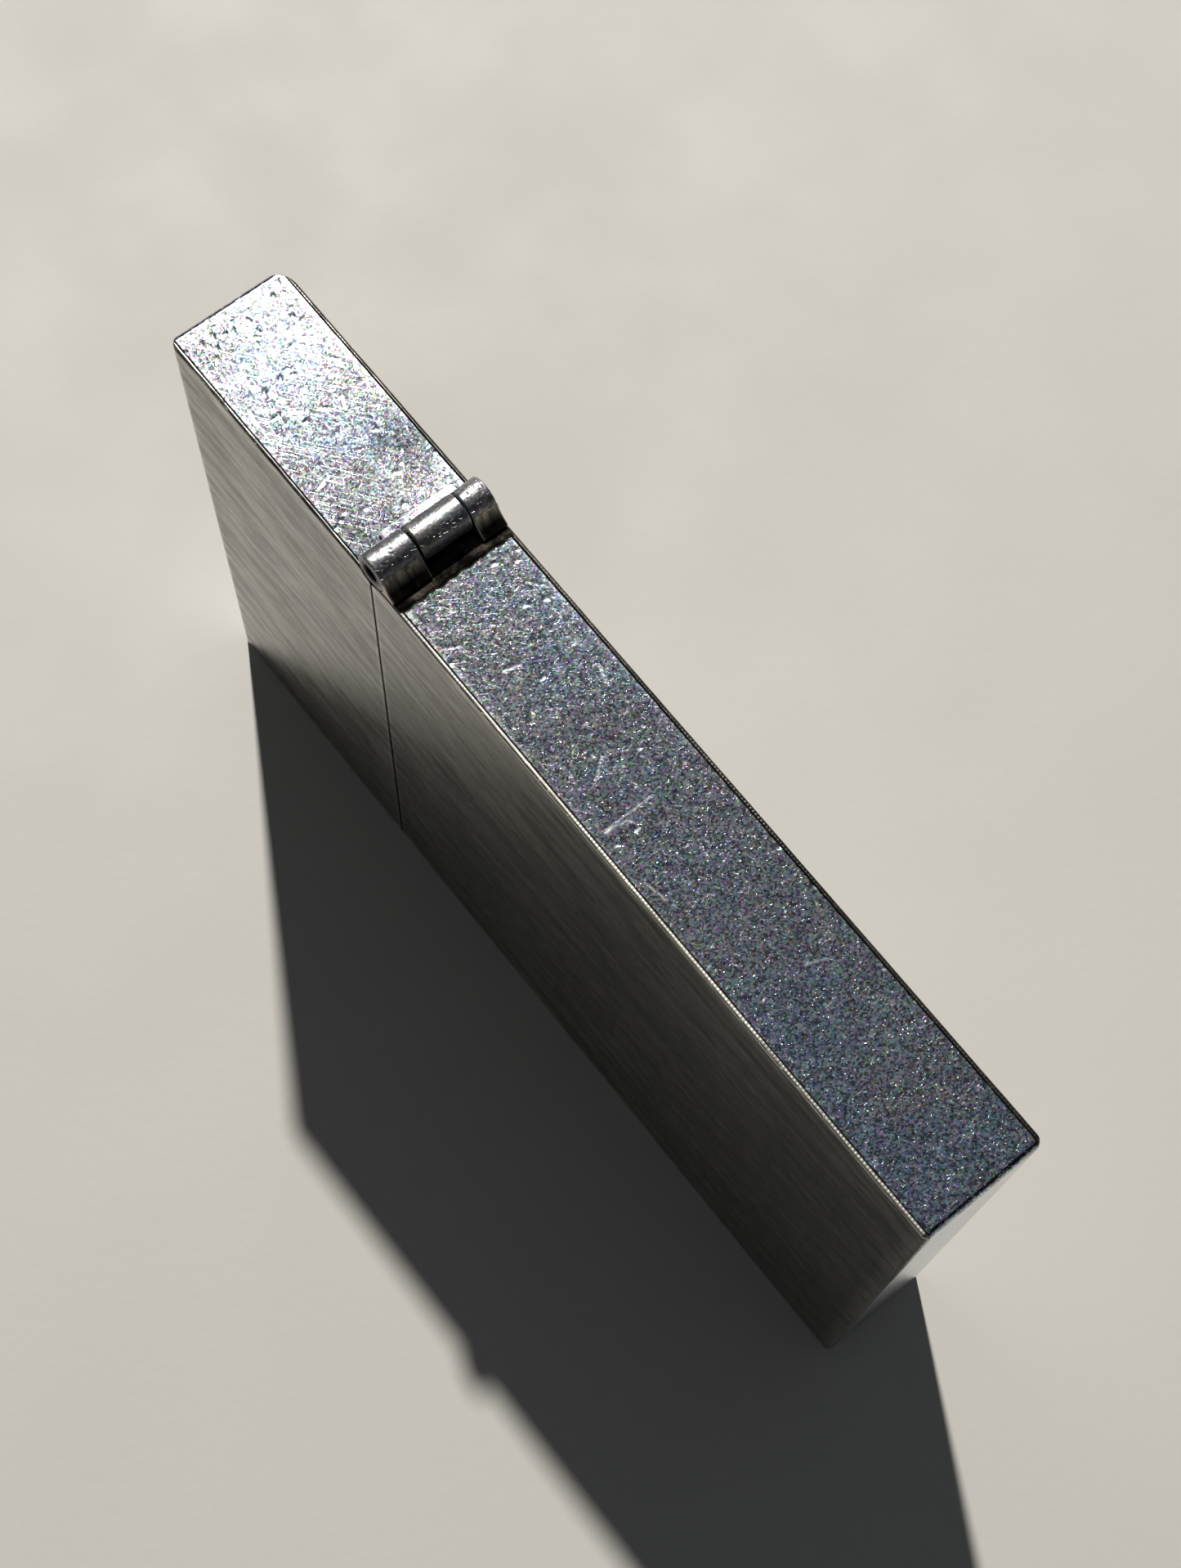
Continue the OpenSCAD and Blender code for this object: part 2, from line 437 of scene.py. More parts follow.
def silver(name, color, tarnish, rough, relief_mm, cast, dirt, grain_mm, painted_glitter, polished):
    """Worn silver: patchy polish, crossing scratches, nicks and dark marks. The colour carries painted
    sparkle, painted glints on the nicks, tarnish in hollows and painted shade.
    """
    s = Shader(name)
    patches = s.noise(9.0, 3.0)
    film = s.noise(2.2, 4.0, 0.62)
    grain = s.noise(grain_mm, 1.0, 0.5)
    tone = s.mix(s.spread(patches, 0.4, 0.6), color, s.tint(color, cast))
    # Painted sparkle: random light and coloured specks in the base colour stand in for glints off the fine
    # scratches; on the polished bands the painted glint mark sets how strong they are.
    painted_glints = s.spread(s.cells(grain_mm, "Color"), 0.1, 0.95, 0.3, 1.9)
    painted_glint_clumps = s.spread(s.noise(grain_mm * 6, 3.0, 0.65), 0.36, 0.64, 0.85, 1.15)
    painted_glint_hues = s.mix(0.5, (1.0, 1.0, 1.0), s.cells(grain_mm * 1.3, "Color"))
    painted_glint_hues = s.tint(painted_glint_hues, (1.31, 1.31, 1.31))
    if polished:
        painted_glitter = s.part(s.mark("glint"), painted_glitter)
    tone = s.mix(painted_glitter, tone, s.tint(s.tint(tone, painted_glint_hues), s.part(painted_glints, painted_glint_clumps)))
    # Darkening from the marks: tarnish in pits, joints and cuts, and painted shade behind and under the
    # barrel, in the bore and in the seam gap.
    hollow = s.part(s.mark("pit"), s.spread(film, 0.3, 0.6, 0.9, 1.0))
    stain = s.spread(film, 0.54, 0.72, 0.0, dirt)
    dark = s.math("MAXIMUM", hollow, stain, clamp=True)
    hairs = s.most(*[s.scratches(turn, length, width, -0.09, shift) for turn, length, width, shift in (
        (8, 4.5, 0.07, (3, 1, 7)), (58, 2.2, 0.07, (9, 4, 2)), (-37, 3.0, 0.07, (5, 8, 1)))])
    nicks = s.most(*[s.scratches(turn, length, width, -0.118, shift) for turn, length, width, shift in (
        (35, 0.6, 0.15, (1, 5, 3)), (105, 0.5, 0.15, (6, 2, 8)), (70, 0.35, 0.2, (4, 7, 6)))])
    # Painted highlights: nicks and the marked lines are lifted towards a light colour, as if they caught the
    # light.
    bright = s.most(s.part(nicks, 0.3), s.mark("rub"))
    tone = s.mix(bright, tone, (0.85, 0.86, 0.88))
    scatter = 0.27 if polished else 0.0
    s.set(Base_Color=s.mix(dark, tone, tarnish), Metallic=1.0)
    s.set(Roughness=s.add(s.spread(patches, 0.35, 0.65, rough - 0.01, rough + 0.01),
                          s.part(s.math("SUBTRACT", grain, 0.5), 0.1), s.part(dark, 0.25),
                          s.part(bright, scatter)))
    relief = s.bump(grain, relief_mm)
    relief = s.bump(s.math("SUBTRACT", 1.0, hairs), relief_mm * 0.25, relief)
    relief = s.bump(s.math("SUBTRACT", 1.0, nicks), relief_mm * 5, relief)
    s.set(Normal=relief)
    return s.material


def rubbed_silver(name, color, tarnish):
    """Broad face: long wavy rubbed streaks over fine engine-turned lines, worn through in patches."""
    s = Shader(name)
    patches = s.noise(16.0, 3.0)
    wander = s.noise(18.0, 2.0, color=True)
    wavy = s.tree.nodes.new("ShaderNodeVectorMath")
    wavy.operation = "MULTIPLY_ADD"
    s.put(wavy.inputs[0], wander)
    wavy.inputs[1].default_value = (0.0, 1.5 * MM, 0.0)
    s.put(wavy.inputs[2], s.coords)
    wavy = wavy.outputs[0]
    streaks = s.noise(1.0, 3.0, 0.6, coords=s.placed((8.0, 1.6, 1.6), coords=wavy))
    hairs = s.noise(1.0, 2.0, 0.6, coords=s.placed((2.4, 0.36, 0.36), coords=wavy))
    rubs = s.noise(1.0, 1.0, 0.5, coords=s.placed((3.6, 0.62, 0.62), -3, (4, 7, 2), coords=wavy))
    fine = s.noise(1.0, 2.0, 0.6, coords=s.placed((1.0, 0.22, 0.22), 12, (9, 3, 5)))
    split = s.tree.nodes.new("ShaderNodeSeparateXYZ")
    s.put(split.inputs[0], s.coords)
    bend = s.math("SINE", s.part(split.outputs[1], 45.0))
    lines = s.add(s.part(split.outputs[0], 0.97), s.part(split.outputs[1], 0.24), s.part(bend, 0.6 * MM))
    cut = s.spread(s.math("SINE", s.part(lines, math.tau / (0.31 * MM))), -0.8, 0.8)
    worn = s.spread(s.add(s.noise(9.0, 3.0), s.part(split.outputs[0], 5.0)), 0.4, 0.85)
    turned = s.part(cut, worn)
    tone = s.mix(s.spread(patches, 0.36, 0.64), color, s.tint(color, (0.88, 0.9, 0.94)))
    tone = s.tint(tone, s.spread(streaks, 0.38, 0.62, 1.1, 0.82))
    tone = s.tint(tone, s.spread(hairs, 0.36, 0.64, 1.18, 0.8))
    tone = s.tint(tone, s.spread(fine, 0.36, 0.64, 0.9, 1.12))
    worn_dark = s.spread(rubs, 0.57, 0.68, 0.0, 0.4)
    # The plates' darkening mark: tarnish at the joints, painted shade of the seam gap and on the far plates'
    # top edges.
    dark = s.math("MAXIMUM", s.part(s.mark("pit"), 0.95), worn_dark, clamp=True)
    # Painted highlight: where the mark asks, the colour is lifted to a warm light tone.
    tone = s.mix(s.mark("rub"), tone, (0.9, 0.84, 0.72))
    s.set(Base_Color=s.mix(dark, tone, tarnish), Metallic=1.0)
    s.set(Roughness=s.add(s.spread(streaks, 0.35, 0.65, 0.16, 0.27), s.part(hairs, 0.08),
                          s.part(s.mark("rub"), 0.2)))
    relief = s.bump(streaks, 0.04)
    relief = s.bump(turned, 0.008, relief)
    relief = s.bump(hairs, 0.015, relief)
    nicks = s.scratches(4, 7.0, 0.06, -0.03, (1, 2, 5))
    relief = s.bump(s.math("SUBTRACT", 1.0, nicks), 0.01, relief)
    s.set(Normal=relief)
    return s.material


def floor_paint(name, color):
    """Pale matt floor with a faint unevenness."""
    s = Shader(name, "object")
    tone = s.mix(s.spread(s.noise(60.0, 4.0), 0.3, 0.7), color, s.tint(color, (0.97, 0.97, 0.965)))
    s.set(Base_Color=tone, Roughness=s.spread(s.noise(17.0), 0.3, 0.7, 0.6, 0.75))
    s.set(Normal=s.bump(s.noise(1.2, 3.0), 0.02))
    return s.material


def metal(name):
    """One of the finishes of the case, made the first time it is asked for."""
    if name in bpy.data.materials:
        return bpy.data.materials[name]
    finish = bpy.context.scene.case_finish
    tarnish = tuple(finish.tarnish_color)
    if name == "rubbed engine-turned silver":
        return rubbed_silver(name, tuple(finish.plate_color), tarnish)
    color, rough, relief_mm, cast, dirt, grain_mm, painted_glitter = {
        "worn polished silver": (finish.band_color, 0.15, 0.003, (0.82, 0.92, 1.03), 0.25, 0.15, 1.0),
        "satin rim silver": (finish.rim_color, 0.26, 0.004, (1.0, 0.97, 0.92), 0.3, 0.2, 0.12),
        "dinged barrel silver": (finish.barrel_color, 0.36, 0.028, (0.9, 0.94, 1.0), 0.5, 0.3, 0.25),
        "dull silver solder": (finish.solder_color, 0.36, 0.016, (1.0, 0.93, 0.8), 0.5, 0.3, 0.5),
        "dark pin wire": (finish.pin_color, 0.38, 0.008, (1.0, 0.95, 0.9), 0.5, 0.2, 0.3),
    }[name]
    # The solder's dark colour is a quarter of the tarnish colour, deep enough to stand as painted shade where
    # the barrel shades the solder.
    if name == "dull silver solder":
        tarnish = tuple(part * 0.25 for part in tarnish)
    polished = name == "worn polished silver"
    return silver(name, tuple(color), tarnish, rough, relief_mm, cast, dirt, grain_mm, painted_glitter, polished)


# ---------------------------------------------------------------- worn surface, by geometry nodes

class Nodes:
    """Short names for building one geometry node tree."""

    def __init__(self, name, inputs):
        self.tree = bpy.data.node_groups.new(name, "GeometryNodeTree")
        self.tree.interface.new_socket("Geometry", in_out="INPUT", socket_type="NodeSocketGeometry")
        for label, kind in inputs:
            self.tree.interface.new_socket(label, in_out="INPUT", socket_type=kind)
        self.tree.interface.new_socket("Geometry", in_out="OUTPUT", socket_type="NodeSocketGeometry")
        self.given = self.tree.nodes.new("NodeGroupInput").outputs
        self.result = self.tree.nodes.new("NodeGroupOutput").inputs[0]

    def node(self, kind, inputs=None, **settings):
        made = self.tree.nodes.new(kind)
        for key, value in settings.items():
            setattr(made, key, value)
        for key, value in (inputs or {}).items():
            if isinstance(value, bpy.types.NodeSocket):
                self.tree.links.new(value, made.inputs[key])
            else:
                made.inputs[key].default_value = value
        return made

    def math(self, operation, a, b=0.0):
        return self.node("ShaderNodeMath", {0: a, 1: b}, operation=operation).outputs[0]

    def named(self, name):
        return self.node("GeometryNodeInputNamedAttribute", {"Name": name}, data_type="FLOAT").outputs[0]


def hollows(t, density, size, depth, seed):
    """Depth at each point of a scatter of round hollows, and how near each point is to a middle."""
    points = t.node("GeometryNodeDistributePointsOnFaces",
                    {"Mesh": t.given["Geometry"], "Density": density, "Seed": seed}).outputs["Points"]
    nearest = t.node("GeometryNodeSampleNearest", {"Geometry": points}, domain="POINT").outputs[0]
    luck = t.node("FunctionNodeRandomValue", {2: 0.3, 3: 1.0, "Seed": seed}, data_type="FLOAT").outputs[1]
    share = t.node("GeometryNodeSampleIndex", {"Geometry": points, "Value": luck, "Index": nearest},
                   data_type="FLOAT", domain="POINT").outputs[0]
    gap = t.node("GeometryNodeProximity", {"Geometry": points}, target_element="POINTS").outputs["Distance"]
    near = t.math("DIVIDE", gap, t.math("MULTIPLY", size, share))
    bowl = t.node("ShaderNodeMapRange", {0: near, 1: 0.0, 2: 1.0, 3: 1.0, 4: 0.0},
                  interpolation_type="SMOOTHSTEP").outputs[0]
    return t.math("MULTIPLY", t.math("MULTIPLY", bowl, share), depth), bowl


def worn_surface_tree():
    """Presses random pits and dents into the outside of a mesh, and darkens the pits."""
    t = Nodes("worn surface", [
        ("Pits", "NodeSocketFloat"), ("Pit size", "NodeSocketFloat"), ("Pit depth", "NodeSocketFloat"),
        ("Dents", "NodeSocketFloat"), ("Dent size", "NodeSocketFloat"), ("Dent depth", "NodeSocketFloat"),
        ("Seed", "NodeSocketInt"), ("Metal", "NodeSocketMaterial")])
    given, outside = t.given, t.named("outside")
    later = t.math("ADD", given["Seed"], 5.0)
    pits, bowl = hollows(t, t.math("MULTIPLY", given["Pits"], outside), given["Pit size"],
                         given["Pit depth"], given["Seed"])
    dents, _ = hollows(t, t.math("MULTIPLY", given["Dents"], outside), given["Dent size"],
                       given["Dent depth"], later)
    sunk = t.math("MULTIPLY", t.math("ADD", pits, dents), outside)
    normal = t.node("GeometryNodeInputNormal").outputs[0]
    push = t.node("ShaderNodeVectorMath", {0: normal, "Scale": t.math("MULTIPLY", sunk, -1.0)},
                  operation="SCALE").outputs[0]
    moved = t.node("GeometryNodeSetPosition", {"Geometry": given["Geometry"], "Offset": push}).outputs[0]
    shade = t.math("MULTIPLY", t.math("MULTIPLY", bowl, outside), 0.55)
    marked = t.node("GeometryNodeStoreNamedAttribute", {
        "Geometry": moved, "Name": "pit", "Value": t.math("MAXIMUM", t.named("pit"), shade)},
        data_type="FLOAT", domain="POINT").outputs[0]
    whole = t.node("GeometryNodeRealizeInstances", {"Geometry": marked}).outputs[0]
    coated = t.node("GeometryNodeSetMaterial", {"Geometry": whole, "Material": given["Metal"]}).outputs[0]
    t.tree.links.new(coated, t.result)
    return t.tree


def wear(made, coat, settings, pits, dents, seed):
    """Bakes pits and dents, as shares of the set densities, into a piece's mesh."""
    tree = bpy.data.node_groups.get("worn surface") or worn_surface_tree()
    sockets = {item.name: item.identifier for item in tree.interface.items_tree if item.in_out == "INPUT"}
    modifier = made.modifiers.new("worn surface", "NODES")
    modifier.node_group = tree
    values = {"Pits": settings.pit_density * pits, "Pit size": settings.pit_size,
              "Pit depth": settings.pit_depth, "Dents": settings.dent_density * dents,
              "Dent size": settings.dent_size, "Dent depth": settings.dent_depth,
              "Seed": settings.seed + seed, "Metal": coat}
    for label, value in values.items():
        modifier[sockets[label]] = value
    graph = bpy.context.evaluated_depsgraph_get()
    baked = bpy.data.meshes.new_from_object(made.evaluated_get(graph), preserve_all_data_layers=True,
                                            depsgraph=graph)
    made.modifiers.clear()
    made.data = baked
    return made


# ---------------------------------------------------------------- the pieces

SEAT_GAP = 0.08
FINE = np.array([0.0, 0.02, 0.05, 0.09, 0.14, 0.2])


def seat_radius(body, y):
    """The barrel seat is close round a body's own knuckles and free round the other body's."""
    lids = (y > Case.near_high[1]) & (y < Case.far_low[1])
    own = ~lids if body == BODY else (y >= Case.middle_low[1]) & (y <= Case.middle_high[1])
    return np.where(own, Case.barrel_r, Case.barrel_r + SEAT_GAP)


def seat_height(body, u, y):
    """Height of the barrel's seat over a place, or far above where there is none."""
    radius = seat_radius(body, y)
    under = Case.axis_z - np.sqrt(np.maximum(radius**2 - u**2, 0))
    return np.where(np.abs(u) < radius, under, Case.axis_z + 9)


def plate(name, body, near, settings):
    """One broad plate: worn round its outer edges, lipped at the seam, cut for the barrel."""
    side, length, height = SIDE[body], LENGTH[body], Case.height
    r, lip = settings.corner_r / MM, settings.lip_r / MM
    joint, mouth = settings.joint_r / MM, Case.mouth
    out = -1.0 if near else 1.0
    random = np.random.default_rng(settings.seed + round(length) + (7 if near else 0))
    step = 0.3
    bend = r * np.sin(np.linspace(0, math.pi / 2, 16))
    u = np.concatenate([mouth + FINE, spaced(mouth + 0.27, 2.2, 0.08), spaced(2.5, length - r - 0.1, step),
                        length - r + bend])
    rim_rows = np.array([0.0, 0.02, 0.05, 0.09, 0.14, 0.2, 0.28, 0.38, 0.55, 0.8])
    over = np.clip(u - (length - r), 0, r)
    tuck = r - np.sqrt(np.maximum(r**2 - over**2, 0))
    top = np.minimum(height - tuck, seat_height(body, u, np.full_like(u, out * Case.face_y)))
    inner = spaced(0.0, 1.0, step / height)[1:-1]
    first, last = tuck + rim_rows[-1], top - rim_rows[-1]
    zz = np.hstack([tuck[:, None] + rim_rows, first[:, None] + (last - first)[:, None] * inner,
                    top[:, None] - rim_rows[::-1]])
    uu = np.repeat(u[:, None], zz.shape[1], 1)
    past = np.maximum(uu - (length - r), 0)
    rise = np.maximum(np.maximum(zz - (height - r), r - zz), 0)
    square = np.minimum(np.minimum(length - uu, height - zz), zz)
    inside = np.where((past > 0) & (rise > 0), r - np.hypot(past, rise), square)
    seat = np.hypot(uu, zz - Case.axis_z) - seat_radius(body, np.array(out * Case.face_y))
    drop = np.maximum(rolled(uu - mouth, lip), rolled(seat, lip * 0.7))
    drop = drop + swells(uu, zz, settings.swell / MM, random, 6, 34)
    face = np.stack([Case.seam_x + side * uu, out * (Case.face_y - drop), zz], -1)
    n, m = uu.shape
    ring = np.concatenate([np.arange(n) * m, (n - 1) * m + np.arange(1, m),
                           np.arange(n - 2, -1, -1) * m + m - 1, np.arange(m - 2, 0, -1)])
    bu, bz = uu.ravel()[ring], zz.ravel()[ring]
    turn_u = np.maximum(bu - (length - r), 0)
    turn_z = np.where(bz < r, bz - r, np.maximum(bz - (height - r), 0))
    shrink = (r - joint) / r
    in_arc = (turn_u > 0) & (turn_z != 0)
    iu = np.where(in_arc, length - r + turn_u * shrink, np.clip(bu, mouth + joint, length - joint))
    iz_arc = np.where(turn_z < 0, r, height - r) + turn_z * shrink
    column_top = np.interp(bu, u, top)
    iz = np.where(in_arc, iz_arc, np.clip(bz, joint, column_top - joint))
    count = len(ring)
    edge_y = np.abs(face.reshape(-1, 3)[ring, 1])
    walls = []
    for share in (0.25, 0.5, 0.75, 1.0):
        deep = edge_y + (Case.inner_y + joint - edge_y) * share
        walls.append(np.stack([Case.seam_x + side * bu, out * deep, bz], 1))
    outer = softened(np.vstack([face.reshape(-1, 3), *walls]), body, settings)
    foot, inward = outer[-count:], np.stack([side * (iu - bu), np.zeros(count), iz - bz], 1)
    turned_in = []
    for turn in (30, 60, 90):
        across, along = 1 - math.cos(math.radians(turn)), math.sin(math.radians(turn))
        step_in = foot + inward * across
        deepest = np.minimum(Case.inner_y, np.abs(foot[:, 1]) - 0.02)
        step_in[:, 1] += (out * deepest - foot[:, 1]) * along
        turned_in.append(step_in)
    points = np.vstack([outer, *turned_in])
    loops = [np.append(ring, ring[0])]
    for k in range(7):
        loops.append(n * m + k * count + np.append(np.arange(count), 0))
    faces = grid_faces(n, m)
    for k in range(7):
        faces += strip_faces(loops[k], loops[k + 1])
    start = n * m + 6 * count
    bottom = start + np.arange(n)
    ceiling = start + n + m - 2 + np.arange(n)[::-1]
    right = start + n - 1 + np.arange(m)
    left = start + np.append(np.arange(2 * n + m - 3, count), 0)
    faces += strip_faces(bottom[1:-1], ceiling[1:-1])
    faces.append([int(bottom[-2]), *right.tolist(), int(ceiling[-2])])
    faces.append([int(ceiling[1]), *left.tolist(), int(bottom[1])])
    skin = np.stack([side * (points[:, 0] - Case.seam_x), points[:, 2], points[:, 1] * 3 + side * 40], 1)
    calm = np.clip((uu - mouth) / 0.6, 0, 1) * np.clip((inside - 0.2) / 1.5, 0, 1) * np.clip(seat / 0.5, 0, 1)
    outside = np.zeros(len(points))
    outside[:n * m] = calm.ravel()
    pit = np.zeros(len(points))
    # Darker lips at the seam: tarnish along the joint and painted shade of the seam gap.
    pit[:n * m] = np.clip(2.0 - (uu - mouth) / 0.1, 0, 1).ravel()
    pit[n * m:] = np.tile(np.clip(2.0 - (bu - mouth) / 0.1, 0, 1), 7)
    pit[n * m + 5 * count:] = 0.9
    # Painted shade: the far plates' top edges are darkened, the near plates' are not.
    on_edge = (bz > height - 0.01) * (0.0 if near else 0.8)
    pit[n * m:] = np.maximum(pit[n * m:], np.tile(on_edge, 7))
    # Painted highlight: a light line along the near body plate's top edge, growing towards the end.
    rub = np.zeros(len(points))
    if near and body == BODY:
        rub[n * m:] = np.tile((bz > height - 0.01) * np.clip(bu / 30, 0.15, 0.7), 7)
    return mesh_object(name, points, faces, skin, outside=outside, pit=pit, rub=rub)


def band_path(length, r, step, mouth):
    """The band's outer line from the mouth over the top, round the end and back along the bottom."""
    height = Case.height
    u = np.concatenate([mouth + FINE, spaced(mouth + 0.27, 2.2, 0.08), spaced(2.3, length - r, step)])
    top = [(a, height, 0.0, 1.0) for a in u]
    turn = np.linspace(0, math.pi / 2, 14)[1:-1]
    upper = [(length - r + r * math.sin(t), height - r + r * math.cos(t), math.sin(t), math.cos(t))
             for t in turn]
    end = [(length, z, 1.0, 0.0) for z in spaced(height - r, r, step)]
    lower = [(a, height - z, nu, -nz) for a, z, nu, nz in reversed(upper)]
    base = [(a, height - z, nu, -nz) for a, z, nu, nz in reversed(top)]
    return np.array(top + upper + end + lower + base)


CUTS = {
    BODY: [(59.8, -4.6, 40, 0.55, 0.12, 0.06), (59.85, -4.55, 128, 0.45, 0.11, 0.05),
           (27.0, -2.0, 90, 4.6, 0.09, 0.014), (27.3, -3.2, 85, 2.4, 0.08, 0.014),
           (22.9, -1.5, -53, 2.0, 0.08, 0.014), (44.5, 1.6, 66, 1.8, 0.08, 0.014),
           (12.4, -1.6, 74, 1.6, 0.09, 0.018), (17.0, 3.6, 160, 1.6, 0.08, 0.016),
           (36.0, 5.0, 80, 0.5, 0.16, 0.06), (48.0, 5.1, 100, 0.4, 0.15, 0.06),
           (62.0, 2.0, 35, 0.6, 0.12, 0.055), (60.3, -0.4, 65, 0.35, 0.12, 0.05),
           (60.8, -1.6, 110, 0.3, 0.12, 0.05), (61.0, -2.8, 50, 0.3, 0.12, 0.045),
           (33.0, -4.3, 10, 2.0, 0.08, 0.018), (8.0, 4.4, 40, 0.8, 0.13, 0.04)],
    LID: [(25.0, -2.6, 30, 0.4, 0.15, 0.055), (24.6, -1.7, 100, 0.3, 0.13, 0.05),
          (25.2, -0.6, 60, 0.3, 0.13, 0.05), (23.9, -3.0, 10, 0.35, 0.12, 0.045),
          (16.0, -3.1, 80, 0.3, 0.14, 0.05), (22.8, 0.2, 140, 0.3, 0.12, 0.045),
          (14.0, 2.2, 25, 1.4, 0.09, 0.02), (9.0, -3.6, 68, 1.0, 0.09, 0.02),
          (17.4, 3.9, -30, 1.2, 0.12, 0.03), (17.0, -4.4, 12, 1.4, 0.08, 0.02)],
}


def band(name, body, settings):
    """The strip bent round the narrow edges, with worn lips at the mouth and cut for the barrel."""
    side, length, r, mouth = SIDE[body], LENGTH[body], settings.corner_r / MM, Case.mouth
    random = np.random.default_rng(settings.seed + 90 + round(length))
    path = band_path(length, r, 0.17 if body == BODY else 0.14, mouth)
    step = 0.16 if body == BODY else 0.14
    edge_rows = FINE[:-1] * 0.7
    y = np.concatenate([edge_rows - Case.inner_y, spaced(0.16 - Case.inner_y, Case.inner_y - 0.16, step),
                        Case.inner_y - edge_rows[::-1]])
    run = np.append(0.0, np.cumsum(np.hypot(*np.diff(path[:, :2], axis=0).T)))
    ss, yy = np.meshgrid(run, y, indexing="ij")
    uu, zz, nu, nz = (np.repeat(path[:, k][:, None], len(y), 1) for k in range(4))
    from_joint = Case.inner_y - np.abs(yy)
    drop = np.maximum(rolled(from_joint, settings.joint_r / MM), rolled(uu - mouth, settings.lip_r / MM))
    drop = drop + swells(ss, yy, settings.swell / MM, random, 4, 22) * np.clip((uu - mouth) / 2, 0, 1)
    on_top = (zz > Case.height - 0.01)
    nicks = []
    for _ in range(70 if body == BODY else 30):
        nicks.append((random.uniform(4.5, length - 1), Case.inner_y * random.uniform(-1, 1),
                      random.uniform(0, 180), random.uniform(0.05, 0.5), random.uniform(0.12, 0.2),
                      random.uniform(0.03, 0.07)))
    cut = scored(ss, yy, CUTS[body] + nicks) * on_top
    if body == LID:
        hollow = np.exp(-((uu - 6.0) / 3.6)**2) * (0.5 + 0.5 * np.tanh((yy - 1.0) / 2.5))
        drop = drop + settings.sag / MM * hollow * on_top
    drop = drop + cut
    pu, pz = uu - drop * nu, zz - drop * nz
    pz = np.where(on_top, lower_of(pz, seat_height(body, uu, yy), 0.05), pz)
    outer = np.stack([Case.seam_x + side * pu, yy, pz], -1)
    n, m = ss.shape
    worn = softened(outer.reshape(-1, 3), body, settings)
    inward = np.stack([-side * path[:, 2], np.zeros(n), -path[:, 3]], 1) * Case.band_t
    inner = [worn[::m] + inward, worn[m - 1::m] + inward]
    for line in inner:
        line[:, 2] = np.where(path[:, 3] > 0.99, Case.height - Case.band_t, line[:, 2])
        line[:, 2] = np.where(path[:, 3] < -0.99, Case.band_t, line[:, 2])
    points = np.vstack([worn, *inner])
    near_line, far_line = n * m + np.arange(n), n * m + n + np.arange(n)
    faces = grid_faces(n, m)
    faces += strip_faces(np.arange(n) * m, near_line) + strip_faces(np.arange(n) * m + m - 1, far_line)
    faces += strip_faces(near_line, far_line)
    for i in (0, n - 1):
        faces.append([*range(i * m, i * m + m), int(far_line[i]), int(near_line[i])])
    skin = np.zeros((len(points), 3))
    skin[:n * m, 0], skin[:n * m, 1] = ss.ravel(), yy.ravel()
    skin[n * m:, 0], skin[n * m:, 1] = np.tile(run, 2), points[n * m:, 1]
    skin[:, 2] = side * 70
    calm = np.clip((from_joint - 0.1) / 0.8, 0, 1) * np.clip((uu - mouth - 0.2) / 0.5, 0, 1)
    hinge_zone = np.clip((uu - 2.0) / 1.0, 0, 1)
    outside = np.zeros(len(points))
    outside[:n * m] = np.where(on_top, calm * hinge_zone, calm).ravel()
    # Darker at the joint lines, at the seam lips, in deep cuts, and within 0.7 mm of the joints, most on the
    # body's near side: tarnish in the joints and cuts, painted shade of the seam gap.
    grime_and_painted_shade = np.clip(1.4 - from_joint / 0.09, 0, 1) * 0.9 + np.clip(1.6 - (uu - mouth) / 0.08, 0, 1)
    grime_and_painted_shade = np.maximum(grime_and_painted_shade, np.clip((cut - 0.03) / 0.03, 0, 0.8))
    margin = np.where(yy < 0, 0.75, 0.5) if body == BODY else 0.4
    grime_and_painted_shade = np.maximum(grime_and_painted_shade, np.clip(1 - from_joint / 0.7, 0, 1)**2 * margin)
    # Painted shade: the top face within 1.8 mm of the seam, under and beside the barrel, is made fully dark.
    under = np.where(on_top & (uu < 1.8), 1.0, 0.0)
    pit = np.full(len(points), 0.35)
    pit[:n * m] = np.maximum(np.clip(grime_and_painted_shade, 0, 1), under).ravel()
    # Painted highlight: the shallow cuts get a light line along them.
    painted_highlight_cuts = [(*line[:4], 0.15, 0.55) for line in CUTS[body] if line[5] < PALE_CUT]
    rub = np.zeros(len(points))
    rub[:n * m] = (scored(ss, yy, painted_highlight_cuts) * on_top).ravel()
    # Painted glints: the sparkle is full on the top face and its rounded edges, and weaker on the ends and
    # the underside.
    glint = np.full(len(points), 0.35)
    glint[:n * m] = 0.35 + 0.65 * np.clip((zz - Case.height + r) / r, 0, 1).ravel()
    return mesh_object(name, points, faces, skin, outside=outside, pit=pit, glint=glint, rub=rub)


